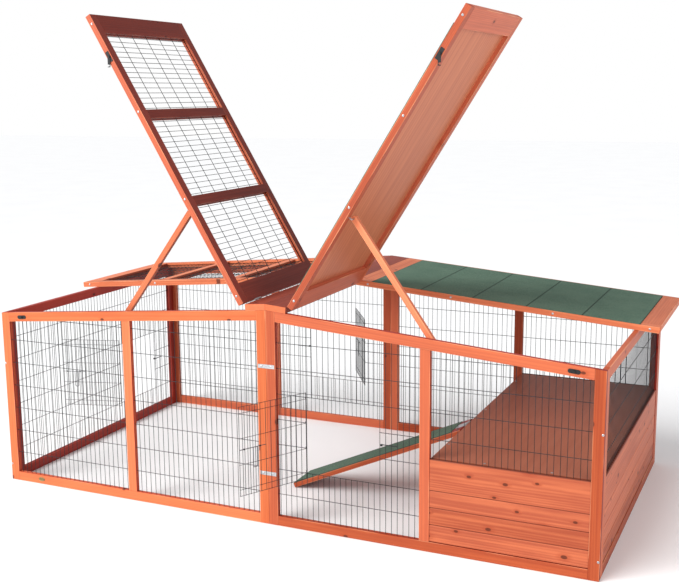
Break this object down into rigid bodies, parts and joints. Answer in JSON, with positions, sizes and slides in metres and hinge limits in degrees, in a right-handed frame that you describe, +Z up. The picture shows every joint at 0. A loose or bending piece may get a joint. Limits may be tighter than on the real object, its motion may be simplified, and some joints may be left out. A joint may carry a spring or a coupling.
{
  "type": "rabbit hutch",
  "caption": "Large outdoor rabbit pen in stained timber and wire mesh, with a boarded shelter, a ramp, a felted half roof, two propped lids and wire doors.",
  "frame": {"origin": "on the ground under the centre joint of the front frame, in the middle of the frame's thickness", "axes": "X along the pen to the right as seen from the front, Y from the front frame towards the back, Z up"},
  "size_m": [2.6598, 1.6605, 1.7927],
  "materials": {
    "stained_timber": "satin orange-brown stain on softwood with knots",
    "stained_plywood": "satin brown stain on plywood",
    "roofing_felt": "matt green mineral felt",
    "galvanised_mesh": "dull dark zinc wire",
    "zinc_fittings": "bright zinc plate",
    "black_fittings": "satin black paint"
  },
  "bodies": {
    "pen": {"front_left_rails": "stained_timber", "front_left_stiles": "stained_timber", "front_right_rails": "stained_timber", "front_right_stiles": "stained_timber", "back_left_rails": "stained_timber", "back_left_stiles": "stained_timber", "back_right_rails": "stained_timber", "back_right_stiles": "stained_timber", "left_end_rails": "stained_timber", "left_end_stiles": "stained_timber", "right_end_rails": "stained_timber", "right_end_stiles": "stained_timber", "front_left_mesh": "galvanised_mesh", "front_right_mesh": "galvanised_mesh", "back_left_mesh": "galvanised_mesh", "back_right_mesh": "galvanised_mesh", "left_end_mesh": "galvanised_mesh", "right_end_mesh": "galvanised_mesh", "door_loops": "galvanised_mesh", "front_boards": "stained_timber", "right_end_boards": "stained_timber", "back_boards": "stained_timber", "shelf": "stained_plywood", "shelf_bearers": "stained_timber", "ramp_bracket": "zinc_fittings", "ridge_boards": "stained_timber", "back_left_roof_frame": "stained_timber", "back_left_roof_mesh": "galvanised_mesh", "back_right_roof_frame": "stained_timber", "back_right_roof_panel": "stained_plywood", "back_right_roof_felt": "roofing_felt", "hinge_fixed_leaves": "zinc_fittings", "prop_rests": "stained_timber", "hook_keepers": "black_fittings", "joining_plates": "zinc_fittings", "frame_screws": "zinc_fittings"},
    "left_lid": {"left_lid_frame": "stained_timber", "left_lid_mesh": "galvanised_mesh", "left_lid_hinge_leaves": "zinc_fittings", "left_prop_pivot": "zinc_fittings", "left_hook_plate": "black_fittings"},
    "right_lid": {"right_lid_frame": "stained_timber", "right_lid_panel": "stained_plywood", "right_lid_felt": "roofing_felt", "right_lid_hinge_leaves": "zinc_fittings", "right_prop_pivot": "zinc_fittings", "right_hook_plate": "black_fittings"},
    "left_prop_stick": {"left_prop": "stained_timber"},
    "right_prop_stick": {"right_prop": "stained_timber"},
    "left_hook": {"left_lid_hook": "black_fittings"},
    "right_hook": {"right_lid_hook": "black_fittings"},
    "front_door_panel": {"front_door": "galvanised_mesh"},
    "end_door_panel": {"end_door": "galvanised_mesh"},
    "back_door_panel": {"back_door": "galvanised_mesh"},
    "front_latch": {"front_door_latch": "zinc_fittings"},
    "end_latch": {"end_door_latch": "zinc_fittings"},
    "back_latch": {"back_door_latch": "zinc_fittings"},
    "ramp": {"ramp_board": "stained_timber", "ramp_felt": "roofing_felt", "ramp_leaf": "zinc_fittings"}
  },
  "joints": [
    {"name": "left_lid_hinge", "type": "hinge", "parent": "pen", "child": "left_lid", "pos_m": [-0.08133, 0.291, 0.79745], "axis": [0, -1, 0], "range_deg": [0, 64.1]},
    {"name": "right_lid_hinge", "type": "hinge", "parent": "pen", "child": "right_lid", "pos_m": [0.08133, 0.291, 0.79745], "axis": [0, 1, 0], "range_deg": [0, 62.4]},
    {"name": "left_prop_pivot_joint", "type": "hinge", "parent": "left_lid", "child": "left_prop_stick", "pos_m": [-0.30949, 0.039, 1.10972], "axis": [0, 1, 0], "range_deg": [0, 112.5]},
    {"name": "right_prop_pivot_joint", "type": "hinge", "parent": "right_lid", "child": "right_prop_stick", "pos_m": [0.31866, 0.039, 1.10281], "axis": [0, -1, 0], "range_deg": [0, 112.5]},
    {"name": "left_hook_swivel", "type": "hinge", "parent": "left_lid", "child": "left_hook", "pos_m": [-0.59991, -0.0118, 1.64322], "axis": [0, 1, 0], "range_deg": [-20, 59.29]},
    {"name": "right_hook_swivel", "type": "hinge", "parent": "right_lid", "child": "right_hook", "pos_m": [0.62477, -0.0118, 1.62747], "axis": [0, -1, 0], "range_deg": [-20, 57.59]},
    {"name": "front_door_hinge", "type": "hinge", "parent": "pen", "child": "front_door_panel", "pos_m": [0.149, -0.00365, 0.34575], "axis": [0, 0, 1], "range_deg": [-45, 118]},
    {"name": "end_door_hinge", "type": "hinge", "parent": "pen", "child": "end_door_panel", "pos_m": [-1.15965, 0.728, 0.25425], "axis": [0, 0, -1], "range_deg": [-55, 106]},
    {"name": "back_door_hinge", "type": "hinge", "parent": "pen", "child": "back_door_panel", "pos_m": [-0.132, 1.18165, 0.34575], "axis": [0, 0, 1], "range_deg": [-105, 58]},
    {"name": "front_door_slide", "type": "slide", "parent": "front_door_panel", "child": "front_latch", "axis": [-0.4695, -0.8829, 0], "range_m": [0, 0.018]},
    {"name": "end_door_slide", "type": "slide", "parent": "end_door_panel", "child": "end_latch", "axis": [-0.9613, -0.2756, 0], "range_m": [0, 0.018]},
    {"name": "back_door_slide", "type": "slide", "parent": "back_door_panel", "child": "back_latch", "axis": [-0.5299, 0.848, 0], "range_m": [0, 0.018]},
    {"name": "ramp_hinge", "type": "hinge", "parent": "pen", "child": "ramp", "pos_m": [0.596, 0.421, 0.321], "axis": [0, 1, 0], "range_deg": [0, 24.1]}
  ],
  "couplings": [
    {"joint": "left_prop_pivot_joint", "follows": "left_lid_hinge", "ratio": 1.755},
    {"joint": "right_prop_pivot_joint", "follows": "right_lid_hinge", "ratio": 1.8028}
  ]
}
